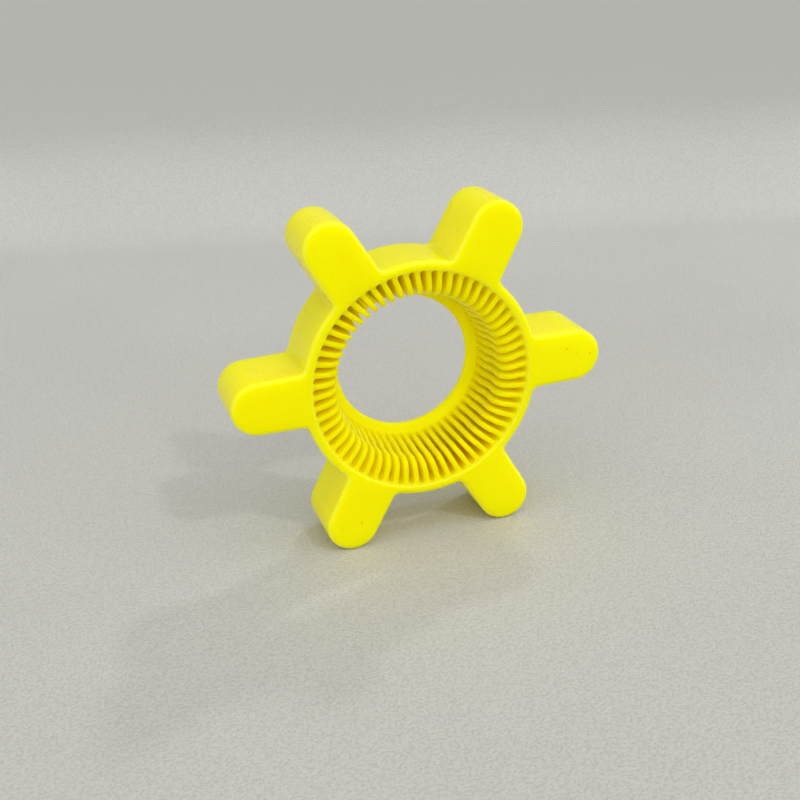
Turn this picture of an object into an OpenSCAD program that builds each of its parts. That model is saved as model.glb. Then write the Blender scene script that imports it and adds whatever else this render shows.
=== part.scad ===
// Spider for a straight-jaw coupling: one moulded elastomer piece.
// A ring with six jaw legs, sixty slanted fins in the bore and a round back lip.
// Frame: the bore runs along Y, the finned front looks toward -Y, Z is up.
// The piece stands on its two lower legs. Millimetres.

/* [Legs] */
// radius over the round leg tips
tip_radius = 63.5; // [58:0.1:72]
// width of one leg across its flat sides
leg_width = 18.1; // [15:0.1:19]
// thickness of the legs and the ring along the bore
thickness = 25.4; // [24:0.1:30]
// radius of the concave fillet where a leg leaves the ring
root_fillet = 2.2; // [2:0.1:3]
// radius on every outer front and back edge
edge_radius = 1.8; // [1.6:0.1:1.9]

/* [Ring] */
// outer radius of the ring
ring_radius = 40.3; // [40:0.1:41]
// inner radius of the raised front rim
rim_radius = 37.1; // [37.1:0.1:37.3]
// radius on the inner edge of the front rim
rim_round = 0.65; // [0.5:0.05:0.8]

/* [Fins] */
// number of fins around the bore
fin_count = 60; // [48:6:60]
// thickness of one fin
fin_thickness = 1.8; // [1.5:0.1:2]
// distance from the bore axis to the middle plane of a fin
fin_slant = 5.0; // [3:0.1:6]
// radius of the round slot ends next to the rim
slot_radius = 36.9; // [36:0.1:36.9]
// depth of the fin fronts below the front face
fin_recess = 1.0; // [0.9:0.1:1.6]
// radius of the fin crests at the front
crest_front = 28.0; // [27.6:0.1:28.6]
// radius of the fin crests behind the step
crest_back = 26.7; // [26.4:0.1:27.2]
// radius on the front corner of a fin
crest_corner = 4.5; // [3.5:0.1:5]

/* [Back lip] */
// smallest radius of the back lip
lip_radius = 23.2; // [22.8:0.1:23.6]
// length of the lip's true cylinder
land_length = 1.0; // [0.6:0.1:1.4]
// angle of the lip's front cone against the bore axis
lip_slope = 68; // [60:1:72]
// radius where the cone runs into the cylinder
lip_nose = 1.0; // [0.6:0.1:1.2]
// radius on the back edge of the lip
lip_round = 1.7; // [1.2:0.1:1.8]
// concave fillet between the fin crests and the cone
lip_fillet = 1.2; // [0.8:0.1:1.4]
// how far the slots reach behind the start of the cone
slot_gap = 0.4; // [0.2:0.1:0.6]

/* [Hidden] */
$fn = 96;
front = thickness / 2;
fin_front = front - fin_recess;
lip_turn = tan(lip_slope / 2);
nose_z = -front + lip_round + land_length;
cone_low = nose_z + lip_nose * lip_turn;
cone_high = cone_low + (crest_back - lip_radius) / tan(lip_slope);
foot_z = cone_high + lip_fillet * lip_turn;
slot_floor = cone_high - slot_gap;
half_pitch = 180 / fin_count;
half_leg = leg_width / 2;
tip_centre = tip_radius - half_leg;
leg_start = ring_radius - edge_radius + 0.05;
slant_angle = asin(fin_slant / slot_radius);
slot_end = (slot_radius + fin_thickness / 2 - fin_slant * fin_slant / (2 * slot_radius))
    / (1 + sin(half_pitch));
slot_round = slot_end * sin(half_pitch) - fin_thickness / 2
    + fin_slant * (1 - cos(half_pitch));
slot_start = 20;
// how far joined curves sink into each other, so that they cross and don't just touch
sink = 0.02;
spool_y = half_leg + root_fillet;
spool_r = ring_radius + root_fillet;
spool_x = sqrt(spool_r * spool_r - spool_y * spool_y);
spool_angle = atan2(spool_y, spool_x);
yellow = [0.96, 0.90, 0.05];

// square-minus-circle shape that rounds a convex corner at the origin
module corner_cut(r) {
  difference() {
    translate([-r, -r]) square([r + 1, r + 1]);
    translate([-r, -r]) circle(r = r);
    translate([-r - 1, -r]) square([1, r + 1]);
  }
}

// points along an arc in the radius-height plane
function arc_points(centre, radius, start, stop, steps) = [
  for (i = [0 : steps])
    let (a = start + (stop - start) * i / steps)
      [centre[0] + radius * cos(a), centre[1] + radius * sin(a)]
];

// material of the ring in the radius-height plane, fins taken as solid
module ring_section() {
  difference() {
    polygon(concat(
      [
        [lip_radius, -front],
        [ring_radius, -front],
        [ring_radius, front],
        [rim_radius, front],
        [rim_radius, fin_front],
        [crest_front, fin_front],
        [crest_front, 3.4],
        [crest_back + 0.2, -2.4]
      ],
      arc_points([crest_back - lip_fillet, foot_z], lip_fillet, 0, -lip_slope, 4),
      arc_points([lip_radius + lip_nose, nose_z], lip_nose, 180 - lip_slope, 180, 6)
    ));
    translate([ring_radius, front]) corner_cut(edge_radius);
    translate([ring_radius, -front]) mirror([0, 1]) corner_cut(edge_radius);
    translate([rim_radius, front]) mirror([1, 0]) corner_cut(rim_round);
    translate([crest_front, fin_front]) mirror([1, 0]) corner_cut(crest_corner);
    translate([lip_radius, -front]) mirror([1, 0]) mirror([0, 1]) corner_cut(lip_round);
  }
}

function slot_point(s, a, w) = [s * cos(a) + w * sin(a), s * sin(a) - w * cos(a)];

// one slot between two slanted fins, seen along the bore
module slot_section() {
  reach_low = slot_end * cos(half_pitch) + fin_slant * sin(half_pitch);
  reach_high = slot_end * cos(half_pitch) - fin_slant * sin(half_pitch);
  polygon([
    slot_point(slot_start, -half_pitch, fin_slant - fin_thickness / 2),
    slot_point(reach_low, -half_pitch, fin_slant - fin_thickness / 2),
    slot_point(reach_high, half_pitch, fin_slant + fin_thickness / 2),
    slot_point(slot_start, half_pitch, fin_slant + fin_thickness / 2)
  ]);
  translate([slot_end, -fin_slant]) circle(r = slot_round + sink / 2, $fn = 24);
}

module slots() {
  for (k = [0 : fin_count - 1])
    rotate([0, 0, (2 * k + 1) * half_pitch + slant_angle])
      translate([0, 0, slot_floor])
        linear_extrude(height = thickness) slot_section();
}

// cross-section of a leg with its four edges rounded
module leg_section() {
  difference() {
    translate([-half_leg, -front]) square([leg_width, thickness]);
    for (m = [0, 1])
      mirror([m, 0]) {
        translate([half_leg, front]) corner_cut(edge_radius);
        translate([half_leg, -front]) mirror([0, 1]) corner_cut(edge_radius);
      }
  }
}

// cutter that leaves the concave root fillet with its rounded edges
module spool() {
  r = root_fillet + sink;
  edge = edge_radius + sink;
  rotate_extrude() {
    translate([0, -front - 1]) square([r, thickness + 2]);
    translate([r, front]) mirror([1, 0]) corner_cut(edge);
    translate([r, -front]) mirror([1, 0]) mirror([0, 1]) corner_cut(edge);
  }
}

// small block that fills the corner between the leg and the ring
module root_block() {
  inner = ring_radius - edge_radius - 0.4;
  difference() {
    translate([0, 0, -front])
      linear_extrude(height = thickness)
        polygon([
          [spool_x, half_leg - edge_radius - 0.3],
          [spool_x, spool_y],
          [inner * cos(spool_angle), inner * sin(spool_angle)],
          [inner * cos(spool_angle * 0.62), inner * sin(spool_angle * 0.62)]
        ]);
    translate([spool_x, spool_y, 0]) spool();
  }
}

module leg() {
  translate([leg_start - 3, 0, 0])
    rotate([90, 0, 90])
      linear_extrude(height = tip_centre - leg_start + 3) leg_section();
  translate([tip_centre, 0, 0])
    rotate([0, 0, -90])
      rotate_extrude(angle = 180)
        intersection() {
          leg_section();
          translate([0, -front - 1]) square([half_leg + 1, thickness + 2]);
        }
  root_block();
  mirror([0, 1, 0]) root_block();
}

// the whole moulding: ring, fins, lip and legs are one piece of material
module spider() {
  color(yellow)
    rotate([90, 0, 0])
      union() {
        difference() {
          rotate_extrude() ring_section();
          slots();
        }
        difference() {
          for (k = [0 : 5])
            rotate([0, 0, 60 * k]) leg();
          cylinder(r = leg_start, h = thickness + 2, center = true);
        }
      }
}

spider();
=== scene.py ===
"""Visual model of a jaw-coupling spider: one moulding of bright yellow polyurethane.

Shapes are worked out in millimetres, in the CAD frame: the bore runs along Y, the finned
front looks toward -Y and Z is up. Plan points are (x, z), and depth is y.
"""
import math

import bmesh
import bpy
import numpy as np
from mathutils import Matrix, Vector, noise
from mathutils.geometry import delaunay_2d_cdt


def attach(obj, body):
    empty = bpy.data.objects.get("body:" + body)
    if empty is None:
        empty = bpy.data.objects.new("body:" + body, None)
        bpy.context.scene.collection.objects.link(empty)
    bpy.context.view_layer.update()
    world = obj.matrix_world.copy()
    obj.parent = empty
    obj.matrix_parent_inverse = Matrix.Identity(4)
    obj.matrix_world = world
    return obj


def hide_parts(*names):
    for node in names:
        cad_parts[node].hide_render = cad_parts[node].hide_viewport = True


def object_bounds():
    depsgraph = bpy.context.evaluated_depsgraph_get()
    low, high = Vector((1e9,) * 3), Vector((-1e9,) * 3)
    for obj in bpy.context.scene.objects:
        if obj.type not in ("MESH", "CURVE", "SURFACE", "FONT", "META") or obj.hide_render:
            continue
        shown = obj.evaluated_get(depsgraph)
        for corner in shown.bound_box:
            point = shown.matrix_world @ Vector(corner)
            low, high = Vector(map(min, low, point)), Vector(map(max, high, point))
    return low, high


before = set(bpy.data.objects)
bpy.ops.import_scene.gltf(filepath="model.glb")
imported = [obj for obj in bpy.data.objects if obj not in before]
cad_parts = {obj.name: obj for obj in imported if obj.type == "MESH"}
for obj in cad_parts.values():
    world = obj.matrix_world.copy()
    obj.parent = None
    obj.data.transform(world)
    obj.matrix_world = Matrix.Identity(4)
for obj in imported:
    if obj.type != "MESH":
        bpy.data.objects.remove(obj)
cad_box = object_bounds()

MM = 0.001
noise.seed_set(5)                        # else Blender seeds its noise from the clock

# ---------------------------------------------------------------- sizes, from the frame
SIZE = (cad_box[1] - cad_box[0]) / MM
TIP_R = SIZE.x / 2                       # radius over the leg tips
FRONT = -SIZE.y / 2                      # y of the front face
BACK = SIZE.y / 2
FLOOR_Z = cad_box[0].z                   # metres: the table under the two lower legs

# ---------------------------------------------------------------- sizes of the moulding
LEGS = 6
RING_R = 40.3                            # outer radius of the ring
LEG_ROOT = 9.2                           # half width of a leg at its root
LEG_ROOT_X = 41.0                        # where that half width is measured
DRAFT = math.radians(1.08)               # each flank leans in toward the tip
FILLET = 2.2                             # concave radius between leg and ring
EDGE = 1.8                               # rounding of every outer edge

FINS = 60
PITCH = 2 * math.pi / FINS
FIN_HALF = 0.9                           # half the thickness of a fin
SLANT = 5.0                              # the fins' middle planes pass this far from the axis
FLOOR_R = 36.9                           # outermost radius of a slot
FIN_FRONT = FRONT + 1.0                  # the fins' front faces lie below the rim
RIM_R = 37.1                             # inner radius of the rim
RIM_ROUND = 0.65                         # convex, on the rim's inner edge
RIM_FILLET = 0.35                        # concave, where the fins' fronts meet the rim
CREST_FRONT = 28.0                       # crest radius in front
CREST_BACK = 26.95                       # crest radius behind the soft step
CREST_END = 26.7                         # crest radius where the lip begins
CORNER = 4.5                             # front corner of a fin
STEP_FROM, STEP_TO = -3.6, 2.6           # the soft step along y
LIP_R = 23.2                             # smallest radius of the bore
LIP_FILLET = 1.2                         # concave, between the crests and the lip's cone
LIP_SLOPE = math.radians(68)             # of the lip's cone against the axis
LIP_NOSE = 1.0                           # convex, between the cone and the bore
LAND = (BACK - 2.7, BACK - 1.7)          # where the bore is a true cylinder
LIP_ROUND = 1.7                          # back edge of the bore
SLOT_END = 8.3                           # y where the slots end
LIP_GAP = 0.6                            # along the section, from T_LIP to the next row
CREST_ROUND = 0.75                       # rounding along both edges of a fin
END_ROUND = 0.45                         # the same round the slot's end at the lip
RIM_END_ROUND = 0.12                     # and where the slot meets the rim
MOUTH_HALF = 0.5                         # half width of a slot where it ends at the lip

# ---------------------------------------------------------------- unevenness of the moulding
LEAN, LEAN_SCALE = 0.16 * MM, 190.0      # depth in metres, and noise cells per metre
SINK, SINK_SCALE = 0.05 * MM, 55.0
LEAN_RADII = (36.6, 32.0)                # the fins begin to lean, and lean fully
LEAN_DEPTHS = (SLOT_END + 0.4, SLOT_END - 3.0)

# ---------------------------------------------------------------- mesh density
ROUND_STEPS = 3                          # rings across a fin's rounded edge
ARC_STEPS = 8                            # round the outer end of a slot
COLUMNS = ARC_STEPS + 1                  # columns of the rim in one pitch
LIP_STEPS = 4                            # a quarter of the slot's round end at the lip
WALL_FRONT_ROWS = 3                      # from the slot's outer end to a fin's corner
CORNER_ROWS = 6                          # round the corner
CREST_ROWS = 14                          # along the crest
RIM_ROWS = 9                             # over the rim
LIP_ROWS = 4                             # from the slots to the middle of the lip's cone
EDGE_ROWS = 6                            # over an outer edge
SIDE_ROWS = 7                            # along the outer side
FILLET_STEPS = 9                         # points round a leg's root fillet
FLANK_STEPS = 10                         # and along its flank
TIP_STEPS = 14                           # and round half its tip
CELL = 2.1                               # spacing of points inside the flat faces
CLEAR = 0.55 * CELL                      # the least from such a point to the border
SNAP_REACH = math.radians(1.3)           # rim columns this near a leg's root shift sideways
LEAD_ROWS = 3.0                          # a slot's floor meets the mouth's shape over these
WELD = 3e-6                              # metres: closer points are one point
SHARP = math.radians(50)                 # edges over this angle stay sharp


# ================================================================ section of the solid ring
def arc(centre, radius, start, stop, steps):
    """Points and inward normals along an arc, angles in degrees in the (r, y) plane."""
    angles = np.radians(np.linspace(start, stop, steps + 1))
    out = np.stack([np.cos(angles), np.sin(angles)], 1)
    return np.array(centre) + radius * out, out


def section():
    """Dense (r, y) outline from the top of the rim to the back face, with inward normals."""
    rim, rim_out = arc((RIM_R + RIM_ROUND, FRONT + RIM_ROUND), RIM_ROUND, 270, 180, 30)
    rim = np.vstack([(RING_R - EDGE, FRONT), rim])
    rim_out = np.vstack([(0, -1), rim_out])
    dip, dip_out = arc((RIM_R - RIM_FILLET, FIN_FRONT - RIM_FILLET), RIM_FILLET, 0, 90, 20)
    nose, nose_out = arc((CREST_FRONT + CORNER, FIN_FRONT + CORNER), CORNER, 270, 180, 40)
    y = np.linspace(FIN_FRONT + CORNER, FOOT_Y, 90)[1:-1]
    k = np.clip((y - STEP_FROM) / (STEP_TO - STEP_FROM), 0, 1)
    k = k * k * (3 - 2 * k)
    tail = np.clip((y - STEP_TO) / (FOOT_Y - STEP_TO), 0, 1)
    crest = np.stack([CREST_FRONT + (CREST_BACK - CREST_FRONT) * k
                      + (CREST_END - CREST_BACK) * tail, y], 1)
    slope = np.gradient(crest[:, 0], y)
    crest_in = np.stack([np.ones_like(y), -slope], 1) / np.sqrt(1 + slope ** 2)[:, None]
    turn = math.degrees(LIP_SLOPE)
    foot, foot_out = arc((CREST_END - LIP_FILLET, FOOT_Y), LIP_FILLET, 0, turn, 24)
    bead, bead_out = arc((LIP_R + LIP_NOSE, LAND[0]), LIP_NOSE, 180 + turn, 180, 24)
    tail_bead, tail_out = arc((LIP_R + LIP_ROUND, LAND[1]), LIP_ROUND, 180, 90, 24)
    points = np.vstack([rim, dip, nose, crest, foot, bead, tail_bead])
    normals = np.vstack([-rim_out, dip_out, -nose_out, crest_in, foot_out, -bead_out, -tail_out])
    keep = np.r_[True, np.linalg.norm(np.diff(points, axis=0), axis=1) > 1e-6]
    return points[keep], normals[keep]


BEND = 1 - math.cos(LIP_SLOPE)           # share of a radius that its bend takes up
CONE = (CREST_END - LIP_R - (LIP_FILLET + LIP_NOSE) * BEND) / math.sin(LIP_SLOPE)
FOOT_Y = LAND[0] - (LIP_FILLET + LIP_NOSE) * math.sin(LIP_SLOPE) - CONE * math.cos(LIP_SLOPE)
OUTLINE, OUTLINE_IN = section()
ALONG = np.r_[0, np.cumsum(np.linalg.norm(np.diff(OUTLINE, axis=0), axis=1))]


def on_section(t):
    """(r, y) and the inward normal at arc length t from the top of the rim."""
    t = np.asarray(t, float)
    point = np.stack([np.interp(t, ALONG, OUTLINE[:, i]) for i in (0, 1)], -1)
    inward = np.stack([np.interp(t, ALONG, OUTLINE_IN[:, i]) for i in (0, 1)], -1)
    return point, inward / np.linalg.norm(inward, axis=-1, keepdims=True)


def t_at(r=None, y=None):
    """Arc length where the section first reaches a radius, or a depth behind the crest corner."""
    if r is not None:
        first = int(np.argmax(OUTLINE[:, 0] <= CREST_FRONT + 0.1))
        return float(np.interp(-r, -OUTLINE[:first, 0], ALONG[:first]))
    low = int(np.argmax(OUTLINE[:, 1] >= FIN_FRONT + CORNER))
    high = int(np.argmax(OUTLINE[:, 0] <= LIP_R + LIP_NOSE))
    return float(np.interp(y, OUTLINE[low:high, 1], ALONG[low:high]))


T_CORNER = t_at(r=CREST_FRONT + CORNER)  # where the fin's front corner begins
T_CREST = T_CORNER + CORNER * math.pi / 2            # where it ends
T_FOOT = t_at(y=FOOT_Y)                  # where the crest meets the lip
T_MOUTH = T_FOOT + LIP_FILLET * math.radians(45)     # where the slots end
T_LIP = T_FOOT + LIP_FILLET * LIP_SLOPE + CONE / 2   # the middle of the lip's cone
T_END = ALONG[-1]                        # where the section reaches the back face

# ================================================================ plan of the fins
PSI_FIN = math.asin(SLANT / FLOOR_R)     # direction of fin 0, whose root is at azimuth 0
PSI_SLOT = PSI_FIN + PITCH / 2


def unit(angle):
    """Plan direction at an angle."""
    return np.array([math.cos(angle), math.sin(angle)])


def turned(points, angle):
    """Plan points turned about the axis."""
    c, s = math.cos(angle), math.sin(angle)
    return np.stack([points[..., 0] * c - points[..., 1] * s,
                     points[..., 0] * s + points[..., 1] * c], -1)


def wall_point(r, side, inset):
    """Plan point at radius r on a wall of slot 0, moved into the fin by inset.
    side is -1 for fin 0 and +1 for fin 1."""
    psi = PSI_FIN if side < 0 else PSI_FIN + PITCH
    w = -SLANT - side * (FIN_HALF - inset)
    s = np.sqrt(np.asarray(r, float) ** 2 - w * w)
    return s[..., None] * unit(psi) + w * unit(psi + math.pi / 2)


def narrowed(points, share):
    """Plan points drawn in toward the middle plane of slot 0, each at its own radius."""
    along, across = unit(PSI_SLOT), unit(PSI_SLOT + math.pi / 2)
    w = (points @ across + SLANT) * share - SLANT
    s = np.sqrt(np.sum(points ** 2, -1) - w * w)
    return s[..., None] * along + w[..., None] * across


def slot_circle():
    """Centre and radius of the circle that touches both walls and reaches FLOOR_R."""
    normals = np.array([unit(PSI_FIN + math.pi / 2), unit(PSI_FIN + PITCH + math.pi / 2)])
    low, high = 0.2, 2.0
    for _ in range(60):
        radius = (low + high) / 2
        offsets = [-SLANT + FIN_HALF + radius, -SLANT - FIN_HALF - radius]
        centre = np.linalg.solve(normals, offsets)
        if np.linalg.norm(centre) + radius > FLOOR_R:
            high = radius
        else:
            low = radius
    return centre, radius


CENTRE, CIRCLE_R = slot_circle()
CIRCLE_FROM = PSI_FIN - math.pi / 2                    # touches fin 0's wall
CIRCLE_TO = PSI_FIN + PITCH + math.pi / 2              # touches fin 1's wall
SLOT_AZIMUTH = math.atan2(CENTRE[1], CENTRE[0])


# ================================================================ patches
class Shell:
    """Collects grids and loose faces of points in millimetres, welded later."""

    def __init__(self):
        self.points, self.faces, self.count = [], [], 0

    def add(self, points, faces):
        points = np.asarray(points, float).reshape(-1, 3)
        self.points.append(points)
        self.faces += [tuple(i + self.count for i in face) for face in faces]
        self.count += len(points)

    def grid(self, points):
        rows, columns = points.shape[:2]
        faces = [(i * columns + j, i * columns + j + 1,
                  (i + 1) * columns + j + 1, (i + 1) * columns + j)
                 for i in range(rows - 1) for j in range(columns - 1)]
        self.add(points, faces)


def solid(plan, y):
    """Plan points and depths as 3-D points."""
    y = np.broadcast_to(y, plan.shape[:-1])
    return np.stack([plan[..., 0], y, plan[..., 1]], -1)


ROUNDS = np.linspace(math.pi / 2, 0, ROUND_STEPS + 1)   # from the wall to the fin's top
T_ROUND = T_MOUTH - MOUTH_HALF           # where the round end of the mouth begins


def side_stations(t_first):
    """Arc lengths of the stations along one side of the slot's mouth."""
    return np.r_[np.linspace(t_first, T_CORNER, WALL_FRONT_ROWS + 1),
                 np.linspace(T_CORNER, T_CREST, CORNER_ROWS + 1)[1:],
                 np.linspace(T_CREST, T_ROUND, CREST_ROWS + 1)[1:]]


def mouth_side(side, roll):
    """One side of the mouth's rounded edge, at one angle of the rounding: points from the
    slot's outer end to its end at the lip."""
    inset = CREST_ROUND * (1 - math.sin(roll))
    drop = CREST_ROUND * (1 - math.cos(roll))
    touch = CENTRE + side * (CIRCLE_R + inset) * unit(
        (PSI_FIN if side < 0 else PSI_FIN + PITCH) + math.pi / 2)
    r_touch = np.linalg.norm(touch)
    point, inward = on_section(side_stations(t_at(r=r_touch)))
    point = point + drop * inward
    plan = wall_point(point[:, 0], side, inset)
    rows = [solid(plan, point[:, 1])]
    for beta in np.linspace(0, math.pi / 2, LIP_STEPS + 1)[1:]:
        size = CREST_ROUND + (END_ROUND - CREST_ROUND) * math.sin(beta) ** 2
        grown = size * (1 - math.sin(roll))
        sunk = size * (1 - math.cos(roll))
        point, inward = on_section(T_ROUND + (MOUTH_HALF + grown) * math.sin(beta))
        point = point + sunk * inward
        plan = narrowed(wall_point(point[0], side, grown)[None], math.cos(beta))
        rows.append(solid(plan, point[1]))
    return np.vstack(rows)


def mouth_arc(roll):
    """The rounded edge round the slot's outer end, from fin 0 to fin 1."""
    points = []
    for k in range(ARC_STEPS + 1):
        share = math.sin(math.pi * k / ARC_STEPS) ** 1.2
        size = CREST_ROUND + (RIM_END_ROUND - CREST_ROUND) * share
        angle = CIRCLE_FROM + (CIRCLE_TO - CIRCLE_FROM) * k / ARC_STEPS
        plan = CENTRE + (CIRCLE_R + size * (1 - math.sin(roll))) * unit(angle)
        point, _ = on_section(t_at(r=np.linalg.norm(plan)))
        points.append(solid(plan, point[1] + size * (1 - math.cos(roll))))
    return np.array(points)


def coons(front, back, start, stop):
    """A grid inside four edges. front and back run from start to stop."""
    m, n = len(start), len(front)
    v, u = np.linspace(0, 1, m)[:, None, None], np.linspace(0, 1, n)[None, :, None]
    corners = ((1 - v) * (1 - u) * front[0] + (1 - v) * u * front[-1]
               + v * (1 - u) * back[0] + v * u * back[-1])
    return ((1 - v) * front[None] + v * back[None]
            + (1 - u) * start[:, None] + u * stop[:, None] - corners)


def wall_depths(y_first, count):
    """Depths along the slot's floor: even rows, then a quarter round at the end."""
    straight = np.linspace(y_first, SLOT_END - CIRCLE_R, count - LIP_STEPS)
    beta = np.linspace(0, math.pi / 2, LIP_STEPS + 1)[1:]
    return np.r_[straight, SLOT_END - CIRCLE_R + CIRCLE_R * np.sin(beta)]


def slot_inside(shell_parts):
    """The two walls and the round floor of slot 0."""
    split = WALL_FRONT_ROWS + CORNER_ROWS // 2
    closing = np.r_[np.zeros(CREST_ROWS + CORNER_ROWS - CORNER_ROWS // 2 + 1),
                    np.linspace(0, math.pi / 2, LIP_STEPS + 1)[1:]]
    walls = {}
    for side in (-1, 1):
        edge = mouth_side(side, math.pi / 2)
        r = np.hypot(edge[:, 0], edge[:, 2])
        flat = np.stack([r, edge[:, 1]], 1)
        front, stop = flat[:split + 1], flat[split:]
        depths = wall_depths(flat[0, 1], len(stop))
        start = np.stack([np.full(len(stop), flat[0, 0]), depths], 1)
        back = np.linspace(start[-1], stop[-1], len(front))
        patch = coons(front, back, start, stop)
        plan = wall_point(patch[..., 0], side, 0.0)
        plan = np.array([narrowed(row, math.cos(b)) for row, b in zip(plan, closing)])
        grid = solid(plan, patch[..., 1])
        grid[:, -1] = edge[split:]
        walls[side] = (depths, grid)
    seam = (walls[-1][1][-1] + walls[1][1][-1]) / 2
    for side in (-1, 1):
        walls[side][1][-1] = seam
        shell_parts.append(walls[side][1])
    mouth = mouth_arc(math.pi / 2)
    rows = len(walls[-1][0])
    grid = np.zeros((rows, ARC_STEPS + 1, 3))
    for k in range(ARC_STEPS + 1):
        share = k / ARC_STEPS
        depths = walls[-1][0] * (1 - share) + walls[1][0] * share
        lead = np.clip(1 - np.arange(rows) / LEAD_ROWS, 0, 1)
        y = depths + (mouth[k, 1] - depths[0]) * lead
        plan = np.array([narrowed(mouth[k, [0, 2]], math.cos(b)) for b in closing])
        grid[:, k] = solid(plan, y)
    grid[:, 0], grid[:, -1] = walls[-1][1][:, 0], walls[1][1][:, 0]
    grid[-1] = (grid[-1] + grid[-1][::-1]) / 2
    shell_parts.append(grid)


def rim_top():
    """Azimuths of the columns where the rim meets the outer rounding, one pitch."""
    return SLOT_AZIMUTH - PITCH + PITCH * np.arange(COLUMNS + 1) / COLUMNS


def warp(azimuth):
    """Draws columns a little sideways, so that one lies at each end of every leg's root."""
    near = np.round(azimuth / (math.pi / 3)) * (math.pi / 3)
    local = azimuth - near
    column = PITCH / COLUMNS
    first = SLOT_AZIMUTH % column
    target = np.sign(local) * ROOT_AZIMUTH
    snapped = np.round((target - first) / column) * column + first
    return azimuth + (target - snapped) * np.exp(-((local - snapped) / SNAP_REACH) ** 2)


FLANK = LEG_ROOT_X * math.sin(DRAFT) + LEG_ROOT * math.cos(DRAFT)
ROOT_AZIMUTH = math.asin((FLANK + FILLET) / (RING_R + FILLET)) - DRAFT


def trapezoid(bottom_t, bottom_azimuth, top_t, top_azimuth, rows):
    """A grid on the section's surface between a line of stations and a circle."""
    share = np.linspace(0, 1, rows + 1)[:, None]
    t = bottom_t * (1 - share) + top_t * share
    azimuth = bottom_azimuth * (1 - share) + top_azimuth * share
    point, _ = on_section(t)
    plan = np.stack([point[..., 0] * np.cos(azimuth), point[..., 0] * np.sin(azimuth)], -1)
    return solid(plan, point[..., 1])


def azimuth_of(points):
    """Azimuths of 3-D points about the bore."""
    return np.arctan2(points[:, 2], points[:, 0])


def turned_solid(points, angle):
    """3-D points turned about the bore."""
    plan = turned(points[..., [0, 2]], angle)
    return solid(plan, points[..., 1])


def comb_patches():
    """Every grid of one pitch: fin 0's crest and slot 0."""
    parts = []
    slot_inside(parts)
    rings = []
    for roll in ROUNDS:
        rings.append((mouth_side(-1, roll), mouth_arc(roll), mouth_side(1, roll)))
    for left, right in zip(rings[:-1], rings[1:]):
        for piece in range(3):
            parts.append(np.array([left[piece], right[piece]]))
    top = rings[-1]
    other = turned_solid(top[2], -PITCH)               # slot -1, on the far side of fin 0
    stations = WALL_FRONT_ROWS + CORNER_ROWS + CREST_ROWS + 1
    parts.append(np.array([other[:stations], top[0][:stations]]))
    half = ARC_STEPS // 2
    far_arc = turned_solid(top[1], -PITCH)
    bottom = np.vstack([far_arc[half:], top[1][:half + 1]])
    t = np.array([t_at(r=r) for r in np.hypot(bottom[:, 0], bottom[:, 2])])
    rim = trapezoid(t, azimuth_of(bottom), 0.0, rim_top(), RIM_ROWS)
    rim[0] = bottom
    parts.append(rim)
    bottom = np.vstack([other[stations - 1:][::-1], top[0][stations - 1:]])
    beta = np.linspace(0, math.pi / 2, LIP_STEPS + 1)
    size = CREST_ROUND + (END_ROUND - CREST_ROUND) * np.sin(beta) ** 2
    t = T_ROUND + (MOUTH_HALF + size) * np.sin(beta)
    t = np.r_[t[::-1], t]
    azimuth = azimuth_of(bottom)
    lip_azimuth = PSI_SLOT - math.asin(SLANT / on_section(T_LIP)[0][0]) - PITCH
    top_line = lip_azimuth + PITCH * np.arange(2 * LIP_STEPS + 2) / (2 * LIP_STEPS + 1)
    lip = trapezoid(t, azimuth, T_LIP, top_line, LIP_ROWS)
    lip[0] = bottom
    parts.append(lip)
    lip_t = [T_LIP, *np.linspace(T_LIP + LIP_GAP, T_END, 2 * EDGE_ROWS + 2)]
    point, _ = on_section(lip_t)
    angles = np.broadcast_to(top_line, (len(lip_t), len(top_line)))
    radii = point[:, :1]
    plan = np.stack([radii * np.cos(angles), radii * np.sin(angles)], -1)
    parts.append(solid(plan, point[:, 1:]))
    return parts, top_line


# ================================================================ outside
def leg_outline():
    """Points and outward normals of leg 0 from its root below to its root above."""
    normal = np.array([math.sin(DRAFT), math.cos(DRAFT)])
    root = (RING_R + FILLET) * unit(ROOT_AZIMUTH)
    tip_x = (TIP_R - FLANK) / (1 - math.sin(DRAFT))
    tip_r = TIP_R - tip_x
    points, normals = [], []
    for angle in np.linspace(ROOT_AZIMUTH + math.pi, 1.5 * math.pi - DRAFT, FILLET_STEPS):
        points.append(root + FILLET * unit(angle))
        normals.append(-unit(angle))
    low = points[-1]
    high = np.array([tip_x, 0]) + tip_r * normal
    for share in np.linspace(0, 1, FLANK_STEPS)[1:-1]:
        points.append(low + (high - low) * share)
        normals.append(normal)
    for angle in np.linspace(math.pi / 2 - DRAFT, 0, TIP_STEPS):
        points.append(np.array([tip_x, 0]) + tip_r * unit(angle))
        normals.append(unit(angle))
    points, normals = np.array(points), np.array(normals)
    flip = np.array([1, -1])
    return (np.vstack([points[:-1] * flip, points[::-1]]),
            np.vstack([normals[:-1] * flip, normals[::-1]]))


def seen_from(centre, azimuth):
    """Azimuths measured from another one, between -pi and pi."""
    return (azimuth - centre + math.pi) % (2 * math.pi) - math.pi


def outside_outline():
    """The whole outline, counterclockwise, and the azimuths of the rim's columns."""
    azimuth = warp(SLOT_AZIMUTH + np.arange(FINS * COLUMNS) * PITCH / COLUMNS)
    points, normals = [], []
    leg_points, leg_normals = leg_outline()
    sector = 2 * math.pi / LEGS
    for k in range(LEGS):
        points += list(turned(leg_points, k * sector))
        normals += list(turned(leg_normals, k * sector))
        local = np.sort(seen_from(k * sector, azimuth))
        between = local[(local > ROOT_AZIMUTH + 1e-4) & (local < sector - ROOT_AZIMUTH - 1e-4)]
        for a in between + k * sector:
            points.append(RING_R * unit(a))
            normals.append(unit(a))
    return np.array(points), np.array(normals), azimuth


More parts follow.
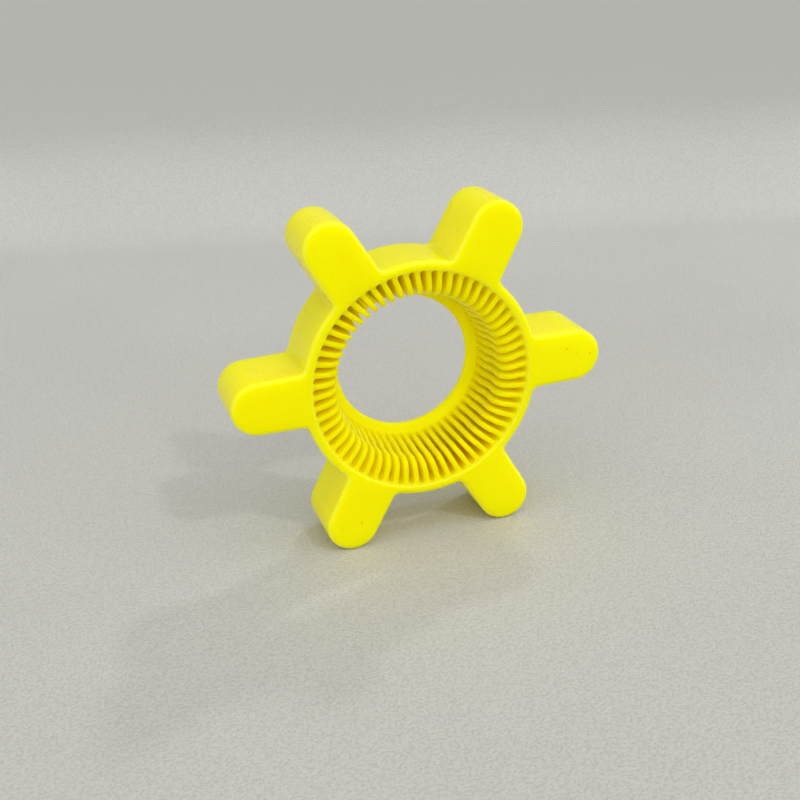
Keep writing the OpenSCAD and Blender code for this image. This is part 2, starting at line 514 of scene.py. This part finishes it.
def outside_rows():
    """(inset, y) of each row over the outer edges, from the front face to the back face."""
    bend = np.linspace(0, math.pi / 2, EDGE_ROWS + 1)
    front = [(EDGE * (1 - math.sin(b)), FRONT + EDGE * (1 - math.cos(b))) for b in bend]
    side = [(0.0, y) for y in np.linspace(FRONT + EDGE, BACK - EDGE, SIDE_ROWS + 1)[1:-1]]
    back = [(inset, -y) for inset, y in front[::-1]]
    return front + side + back


def flat_fill(shell, loops, y, inside):
    """Fills a flat face between closed loops of plan points with even triangles."""
    points = [tuple(p) for loop in loops for p in loop]
    edges, start = [], 0
    for loop in loops:
        n = len(loop)
        edges += [(start + i, start + (i + 1) % n) for i in range(n)]
        start += n
    border = np.array(points)
    low, high = border.min(0), border.max(0)
    row = 0
    z = low[1]
    while z < high[1]:
        for x in np.arange(low[0] + (row % 2) * CELL / 2, high[0], CELL):
            p = np.array([x, z])
            if inside(p) and np.min(np.sum((border - p) ** 2, 1)) > CLEAR ** 2:
                points.append((x, z))
        row += 1
        z += CELL * math.sqrt(3) / 2
    made = delaunay_2d_cdt([Vector(p) for p in points], edges, [], 0, 1e-7)
    corners = np.array([tuple(v) for v in made[0]])
    faces = [f for f in made[2] if inside(corners[list(f)].mean(0))]
    shell.add(solid(corners, y), faces)


def in_polygon(p, polygon):
    """Whether a plan point lies inside a closed loop of plan points."""
    x, z = polygon[:, 0], polygon[:, 1]
    nx, nz = np.roll(x, -1), np.roll(z, -1)
    crosses = (z > p[1]) != (nz > p[1])
    with np.errstate(divide="ignore", invalid="ignore"):
        at = x + (p[1] - z) * (nx - x) / (nz - z)
    return bool(np.sum(crosses & (p[0] < at)) % 2)


def build_outside(shell, back_azimuths):
    """The outer surface, the fronts of the legs and the back face."""
    points, normals, azimuth = outside_outline()
    rows = outside_rows()
    grid = np.array([solid(points - inset * normals, y) for inset, y in rows])
    shell.grid(np.concatenate([grid, grid[:, :1]], 1))
    inset = points - EDGE * normals
    rim_r = RING_R - EDGE
    sector = 2 * math.pi / LEGS
    leg_points, leg_normals = leg_outline()
    for k in range(LEGS):
        leg = turned(leg_points - EDGE * leg_normals, k * sector)
        local = np.sort(seen_from(k * sector, azimuth))
        root = local[np.abs(local) < ROOT_AZIMUTH - 1e-4] + k * sector
        loop = np.vstack([leg, [rim_r * unit(a) for a in root[::-1]]])
        flat_fill(shell, [loop], FRONT, lambda p: in_polygon(p, loop))
    lip_r = LIP_R + LIP_ROUND
    lip = np.array([lip_r * unit(a) for a in back_azimuths])
    flat_fill(shell, [inset, lip], BACK,
              lambda p: math.hypot(*p) > lip_r * 0.9999 and in_polygon(p, inset)
              and not in_polygon(p, lip))


# ================================================================ the mesh
def smooth(value, low, high):
    """Smooth step from 0 at low to 1 at high."""
    k = min(max((value - low) / (high - low), 0.0), 1.0)
    return k * k * (3 - 2 * k)


def uneven(co, normal):
    """How far the moulding is off its nominal shape at a point: the fins lean a little this
    way and that, and the skin sinks in slightly here and there."""
    r, y = math.hypot(co.x, co.z) / MM, co.y / MM
    fins = smooth(r, *LEAN_RADII) * smooth(y, *LEAN_DEPTHS)
    lean = noise.noise_vector(co * LEAN_SCALE) * (LEAN * fins)
    sink = (0.5 + 0.5 * noise.noise(co * SINK_SCALE)) * SINK * (1 - fins)
    return lean - normal * sink


def spider_mesh():
    """The whole moulding as one closed mesh in metres."""
    shell = Shell()
    patches, lip_line = comb_patches()
    back_azimuths = []
    for k in range(FINS):
        for patch in patches:
            moved = turned_solid(patch, k * PITCH)
            on_rim = np.abs(np.hypot(moved[..., 0], moved[..., 2]) - (RING_R - EDGE)) < 1e-6
            if on_rim.any():
                angle = np.arctan2(moved[..., 2], moved[..., 0])
                angle = np.where(on_rim, warp(angle), angle)
                radius = np.hypot(moved[..., 0], moved[..., 2])
                moved = solid(np.stack([radius * np.cos(angle), radius * np.sin(angle)], -1),
                              moved[..., 1])
            shell.grid(moved)
        back_azimuths += list(lip_line[:-1] + k * PITCH)
    build_outside(shell, back_azimuths)
    points = np.vstack(shell.points) * MM
    mesh = bpy.data.meshes.new("spider_body")
    mesh.from_pydata([tuple(p) for p in points], [], shell.faces)
    bm = bmesh.new()
    bm.from_mesh(mesh)
    bmesh.ops.remove_doubles(bm, verts=bm.verts, dist=WELD)
    bmesh.ops.dissolve_degenerate(bm, edges=bm.edges, dist=1e-7)
    bmesh.ops.recalc_face_normals(bm, faces=bm.faces)
    bm.normal_update()
    for vert in bm.verts:
        vert.co += uneven(vert.co, vert.normal)
    for face in bm.faces:
        face.smooth = True
    bm.to_mesh(mesh)
    bm.free()
    mesh.set_sharp_from_angle(angle=SHARP)
    return mesh


# ================================================================ node helpers
class Nodes:
    """Short calls for building a node tree."""

    def __init__(self, tree):
        self.tree = tree
        tree.nodes.clear()

    def make(self, kind, **settings):
        node = self.tree.nodes.new(kind)
        for name, value in settings.items():
            setattr(node, name, value)
        return node

    def put(self, value, socket):
        if isinstance(value, bpy.types.NodeSocket):
            self.tree.links.new(value, socket)
        else:
            socket.default_value = value

    def math(self, operation, a, b=0.0):
        node = self.make("ShaderNodeMath", operation=operation)
        for socket, value in zip(node.inputs, (a, b)):
            self.put(value, socket)
        return node.outputs[0]

    def ramp(self, value, low, high, start=0.0, stop=1.0):
        """Smooth step from start to stop as value goes from low to high."""
        node = self.make("ShaderNodeMapRange", interpolation_type="SMOOTHSTEP", clamp=True)
        for socket, number in zip(node.inputs, (value, low, high, start, stop)):
            self.put(number, socket)
        return node.outputs[0]

    def noise(self, vector, scale, detail, rough):
        node = self.make("ShaderNodeTexNoise", noise_type="FBM", normalize=True)
        self.put(vector, node.inputs["Vector"])
        self.put(scale, node.inputs["Scale"])
        self.put(detail, node.inputs["Detail"])
        self.put(rough, node.inputs["Roughness"])
        return node.outputs["Fac"]

    def mix(self, share, a, b):
        node = self.make("ShaderNodeMix", data_type="RGBA")
        self.put(share, node.inputs[0])
        self.put(a, node.inputs[6])
        self.put(b, node.inputs[7])
        return node.outputs[2]

    def stretched(self, vector, scale):
        node = self.make("ShaderNodeVectorMath", operation="MULTIPLY")
        self.put(vector, node.inputs[0])
        node.inputs[1].default_value = scale
        return node.outputs[0]

    def dot(self, vector, direction):
        node = self.make("ShaderNodeVectorMath", operation="DOT_PRODUCT")
        self.put(vector, node.inputs[0])
        node.inputs[1].default_value = direction
        return node.outputs["Value"]

    def distance(self, vector, point):
        node = self.make("ShaderNodeVectorMath", operation="DISTANCE")
        self.put(vector, node.inputs[0])
        node.inputs[1].default_value = point
        return node.outputs["Value"]

    def bump(self, height, distance, strength, normal=None):
        node = self.make("ShaderNodeBump")
        self.put(height, node.inputs["Height"])
        node.inputs["Distance"].default_value = distance
        node.inputs["Strength"].default_value = strength
        if normal is not None:
            self.put(normal, node.inputs["Normal"])
        return node.outputs["Normal"]


def new_material(name):
    """A material, its node helper and its one shader."""
    material = bpy.data.materials.new(name)
    material.use_nodes = True
    nodes = Nodes(material.node_tree)
    shader = nodes.make("ShaderNodeBsdfPrincipled")
    output = nodes.make("ShaderNodeOutputMaterial")
    nodes.put(shader.outputs[0], output.inputs["Surface"])
    return material, nodes, shader


def color(red, green, blue):
    return (red, green, blue, 1.0)


# ================================================================ polyurethane
DEEP_YELLOW = color(0.981, 0.836, 0.0008)
PALE_YELLOW = color(0.988, 0.870, 0.0012)
FLECK = color(0.990, 0.886, 0.003)       # fine mottle
WEAR_AND_HIGHLIGHT = color(0.99, 0.94, 0.12)           # scuffed edges, and painted highlight lines along them
DUST = color(0.34, 0.22, 0.02)
STAIN = color(0.30, 0.19, 0.02)          # the marks
GLOSS = color(1.0, 0.93, 0.12)           # tint of the reflection seen straight on
CLOUD_SCALE = 26.0                       # noise cells per metre: slow changes of colour
MOTTLE_SCALE = 240.0                     # flecks
GRAIN_SCALE = 2600.0                     # the satin skin
RIPPLE_SCALE = 320.0                     # shallow ripples
EDGE_PATCH_SCALE = 420.0                      # patches of wear and painted highlight along an edge
SHEEN_SCALE = 90.0                       # patches of more and less gloss
SPECK_SCALE = 170.0                      # cells, of which a few hold a dust speck
ROUGHNESS = (0.26, 0.36)
GLOW_DEPTH = 8 * MM                      # how far light travels inside
GLOW_BY_COLOUR = (1.0, 0.8, 0.05)        # as shares of that depth: red, green, blue
WEAR_AND_HIGHLIGHT_RADII = (36.6 * MM, 37.2 * MM)      # no wear or painted highlight on the fins, which lie further in
# small marks on the moulding, millimetres: place, radius, and how dark. The first three are
# on the right leg's front, the next two on the lower left leg's, and the others make up the
# brown streak on the upper left leg's flank.
MARKS = (
    ((51.0, -12.7, 3.2), 0.42, 0.5),
    ((54.6, -12.7, 1.4), 0.30, 0.4),
    ((59.6, -12.7, 0.2), 0.38, 0.45),
    ((-24.6, -12.7, -46.4), 0.40, 0.5),
    ((-31.0, -12.7, -47.6), 0.34, 0.4),
    ((-34.6, -0.5, 42.0), 1.00, 0.55),
    ((-33.9, 3.6, 40.6), 1.20, 0.75),
    ((-33.0, 6.4, 39.0), 1.30, 0.80),
    ((-33.8, 9.2, 40.5), 1.00, 0.70),
    ((-33.1, 9.5, 39.2), 1.00, 0.75),
    ((-32.3, 9.8, 37.9), 0.90, 0.75),
    ((-31.6, 10.1, 36.6), 0.85, 0.65),
    ((-30.8, 10.4, 35.3), 0.70, 0.5),
)


def polyurethane():
    """Cloudy, satin and translucent yellow, with wear and painted highlights on the edges, dust
    and a few marks.
    """
    material, n, shader = new_material("polyurethane")
    place = n.make("ShaderNodeTexCoord").outputs["Object"]
    facing = n.make("ShaderNodeTexCoord").outputs["Normal"]
    cloudy = n.noise(place, CLOUD_SCALE, 3.0, 0.55)
    mottle = n.noise(place, MOTTLE_SCALE, 4.0, 0.6)
    grain = n.noise(place, GRAIN_SCALE, 3.0, 0.6)
    base = n.mix(n.ramp(cloudy, 0.36, 0.66), DEEP_YELLOW, PALE_YELLOW)
    base = n.mix(n.ramp(mottle, 0.42, 0.75, 0.0, 0.35), base, FLECK)
    # a little pale wear along the outward edges, together with painted highlight lines there
    depth = n.math("ABSOLUTE", n.dot(facing, (0.0, 1.0, 0.0)))
    edge = n.math("MULTIPLY", n.ramp(depth, 0.25, 0.6), n.ramp(depth, 0.98, 0.8))
    edge_patches = n.noise(n.stretched(place, (1.0, 3.0, 1.0)), EDGE_PATCH_SCALE, 5.0, 0.65)
    worn_and_highlit = n.math("MULTIPLY", edge, n.ramp(edge_patches, 0.30, 0.70, 0.25, 1.0))
    out = n.distance(n.stretched(place, (1.0, 0.0, 1.0)), (0.0, 0.0, 0.0))
    worn_and_highlit = n.math("MULTIPLY", worn_and_highlit, n.ramp(out, *WEAR_AND_HIGHLIGHT_RADII))
    # the pale edge colour is partly wear and partly a painted highlight
    base = n.mix(n.math("MULTIPLY", worn_and_highlit, 0.55), base, WEAR_AND_HIGHLIGHT)
    # dust specks in a few of the cells, and the marks
    specks = n.make("ShaderNodeTexVoronoi", feature="F1")
    n.put(place, specks.inputs["Vector"])
    specks.inputs["Scale"].default_value = SPECK_SCALE
    lucky = n.ramp(n.dot(specks.outputs["Color"], (1.0, 0.0, 0.0)), 0.93, 0.95)
    dots = n.math("MULTIPLY", n.ramp(specks.outputs["Distance"], 0.045, 0.02), lucky)
    base = n.mix(n.math("MULTIPLY", dots, 0.45), base, DUST)
    marks = 0.0
    for spot, radius, dark in MARKS:
        away = n.distance(place, [c * MM for c in spot])
        mark = n.ramp(away, radius * MM, radius * MM * 0.35, 0.0, dark)
        marks = n.math("MAXIMUM", mark, marks)
    base = n.mix(marks, base, STAIN)
    n.put(base, shader.inputs["Base Color"])
    rough = n.ramp(n.noise(place, SHEEN_SCALE, 4.0, 0.6), 0.3, 0.7, *ROUGHNESS)
    rough = n.math("ADD", rough, n.math("MULTIPLY", worn_and_highlit, 0.08))
    n.put(rough, shader.inputs["Roughness"])
    shader.inputs["IOR"].default_value = 1.45
    shader.inputs["Specular IOR Level"].default_value = 0.16
    shader.inputs["Specular Tint"].default_value = GLOSS
    shader.inputs["Subsurface Weight"].default_value = 1.0
    shader.inputs["Subsurface Radius"].default_value = GLOW_BY_COLOUR
    shader.inputs["Subsurface Scale"].default_value = GLOW_DEPTH
    # slow waves, fine ripples, grain, and pits under the dust and the marks
    normal = n.bump(cloudy, 0.5 * MM, 0.2)
    normal = n.bump(n.noise(place, RIPPLE_SCALE, 2.0, 0.5), 0.05 * MM, 0.1, normal)
    normal = n.bump(grain, 0.01 * MM, 0.12, normal)
    pits = n.math("SUBTRACT", 1.0, n.math("MAXIMUM", dots, marks))
    normal = n.bump(pits, 0.2 * MM, 0.7, normal)
    n.put(normal, shader.inputs["Normal"])
    return material


# ================================================================ studio
WALL_AWAY = 0.45                         # metres from the axis to the backdrop
COVE = 0.07                              # radius between floor and backdrop
VIEW_SIDE = Vector((0.9438, -0.3306, 0.0))   # level direction to the right of the view
VIEW_AHEAD = Vector((0.3306, 0.9438, 0.0))   # level direction away from the camera
STAGE_REACH = 6.0                        # the floor runs this far to the front and each side
WALL_TOP = 3.0                           # height of the backdrop
FLOOR_GREYS = (color(0.530, 0.531, 0.508), color(0.553, 0.555, 0.533))
GRAIN_GREY = color(0.30, 0.30, 0.28)
WALL_GREY = color(0.462, 0.465, 0.446)
BLOTCH_SCALE = 7.0                       # noise cells per metre: slow changes of grey
LEATHER_SCALE = 1000.0                   # the fine grain
WALL_HEIGHTS = (-0.05, 0.06)             # z over which floor grey turns into wall grey
WORLD_BASE = 0.68                        # radiance of the surroundings
WORLD_TOP = 0.17                         # added overhead
WORLD_FRONT = 0.48                       # added from the front, above and to the right
WORLD_AIM = (0.35, -0.80, 0.49)          # the direction of that part
LAMP_TINT = (1.0, 0.985, 0.96)


def floor_material():
    """Pale grey with a fine leathery grain, a little darker up the backdrop."""
    material, n, shader = new_material("floor")
    place = n.make("ShaderNodeTexCoord").outputs["Object"]
    soft = n.noise(place, BLOTCH_SCALE, 2.0, 0.5)
    base = n.mix(n.ramp(soft, 0.3, 0.7), *FLOOR_GREYS)
    grain = n.noise(place, LEATHER_SCALE, 3.0, 0.6)
    base = n.mix(n.ramp(grain, 0.58, 0.36, 0.0, 0.30), base, GRAIN_GREY)
    height = n.ramp(n.dot(place, (0.0, 0.0, 1.0)), *WALL_HEIGHTS)
    base = n.mix(height, base, WALL_GREY)
    n.put(base, shader.inputs["Base Color"])
    shader.inputs["Roughness"].default_value = 0.62
    leather = n.math("MULTIPLY", grain, n.math("SUBTRACT", 1.0, height))
    normal = n.bump(leather, 0.55 * MM, 0.65)
    n.put(normal, shader.inputs["Normal"])
    return material


def make_stage():
    """A pale floor that curves up into a plain backdrop behind the object."""
    profile = [(-STAGE_REACH, 0.0)] + [(x, 0.0) for x in np.linspace(-1.0, WALL_AWAY - COVE, 8)]
    for angle in np.radians(np.linspace(7.5, 90, 12)):
        profile.append((WALL_AWAY - COVE + COVE * math.sin(angle), COVE * (1 - math.cos(angle))))
    profile.append((WALL_AWAY, WALL_TOP))
    across = (-STAGE_REACH, -1.0, 0.0, 1.0, STAGE_REACH)
    points, faces = [], []
    for ahead, up in profile:
        for side in across:
            spot = VIEW_AHEAD * ahead + VIEW_SIDE * side
            points.append((spot.x, spot.y, FLOOR_Z + up))
    wide = len(across)
    for i in range(len(profile) - 1):
        for j in range(wide - 1):
            k = i * wide + j
            faces.append((k, k + 1, k + wide + 1, k + wide))
    mesh = bpy.data.meshes.new("floor")
    mesh.from_pydata(points, [], faces)
    mesh.shade_smooth()
    floor = bpy.data.objects.new("floor", mesh)
    floor.data.materials.append(floor_material())
    bpy.context.scene.collection.objects.link(floor)


def make_sun(name, toward, energy, size, tint):
    """A distant round lamp; toward is the direction to it, size its width in degrees."""
    data = bpy.data.lights.new(name, "SUN")
    data.energy = energy
    data.angle = math.radians(size)
    data.color = tint
    lamp = bpy.data.objects.new(name, data)
    lamp.rotation_euler = Vector(toward).to_track_quat("Z", "Y").to_euler()
    bpy.context.scene.collection.objects.link(lamp)
    return lamp


def make_softbox(name, place, size, radiance):
    """A rectangular soft light that faces the object."""
    data = bpy.data.lights.new(name, "AREA")
    data.shape = "RECTANGLE"
    data.size, data.size_y = size
    data.energy = radiance * math.pi * size[0] * size[1]
    lamp = bpy.data.objects.new(name, data)
    lamp.location = place
    lamp.rotation_euler = Vector(place).to_track_quat("Z", "Y").to_euler()
    lamp.visible_camera = False
    bpy.context.scene.collection.objects.link(lamp)


def make_world():
    """Soft light from all round, brighter overhead and from the front right."""
    world = bpy.data.worlds.new("studio")
    world.use_nodes = True
    bpy.context.scene.world = world
    n = Nodes(world.node_tree)
    toward = n.make("ShaderNodeTexCoord").outputs["Generated"]
    up = n.ramp(n.dot(toward, (0.0, 0.0, 1.0)), -0.1, 1.0, 0.0, WORLD_TOP)
    front = n.ramp(n.dot(toward, WORLD_AIM), 0.0, 1.0, 0.0, WORLD_FRONT)
    background = n.make("ShaderNodeBackground")
    background.inputs["Color"].default_value = color(1.0, 0.995, 0.985)
    n.put(n.math("ADD", n.math("ADD", up, front), WORLD_BASE), background.inputs["Strength"])
    output = n.make("ShaderNodeOutputWorld")
    n.put(background.outputs[0], output.inputs["Surface"])


CAMERA_AT = Vector((-0.1108, -0.3535, 0.1419))
CAMERA_RIGHT = Vector((0.94272, -0.33031, -0.04667))
CAMERA_UP = Vector((0.17847, 0.38121, 0.90710))
CAMERA_BACK = Vector((-0.28184, -0.86347, 0.41832))
CAMERA_SENSOR, CAMERA_LENS = 36.0, 53.23     # millimetres
CAMERA_SHIFT = (-0.0361, 0.0586)         # puts the part where the photo has it


def make_camera():
    """The view: 0.40 m away, from the front left and above."""
    data = bpy.data.cameras.new("camera")
    data.sensor_width = CAMERA_SENSOR
    data.lens = CAMERA_LENS
    data.shift_x, data.shift_y = CAMERA_SHIFT
    data.clip_start = 0.01
    camera = bpy.data.objects.new("camera", data)
    bpy.context.scene.collection.objects.link(camera)
    place = Matrix((CAMERA_RIGHT, CAMERA_UP, CAMERA_BACK)).transposed().to_4x4()
    place.translation = CAMERA_AT
    camera.matrix_world = place
    bpy.context.scene.camera = camera


# ================================================================ the scene
bpy.context.scene.view_settings.view_transform = "Standard"
bpy.context.scene.cycles.diffuse_bounces = 12    # so that light reaches deep into the slots
make_camera()
make_stage()
make_world()
# direction, strength, width in degrees; or place, size, radiance
make_sun("lamp_right", (0.35, -0.91, 1.0), 0.45, 3.6, LAMP_TINT)
make_softbox("softbox_left", (-1.10, -0.55, 0.22), (0.30, 0.45), 2.2)
make_softbox("softbox_right", (1.15, 0.10, 0.30), (0.25, 0.45), 3.0)
lamp_behind = make_sun("lamp_behind", (0.77, 0.73, 1.0), 0.36, 4.5, LAMP_TINT)
spider = bpy.data.objects.new("spider_body", spider_mesh())
bpy.context.scene.collection.objects.link(spider)
# the backdrop casts no shadow from the lamp behind it
blockers = bpy.data.collections.new("blockers")
blockers.objects.link(spider)
lamp_behind.light_linking.blocker_collection = blockers
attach(spider, "root")
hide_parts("spider")
spider.data.materials.append(polyurethane())
shading = spider.modifiers.new("shading", "WEIGHTED_NORMAL")
shading.mode = "FACE_AREA_WITH_ANGLE"
shading.keep_sharp = True
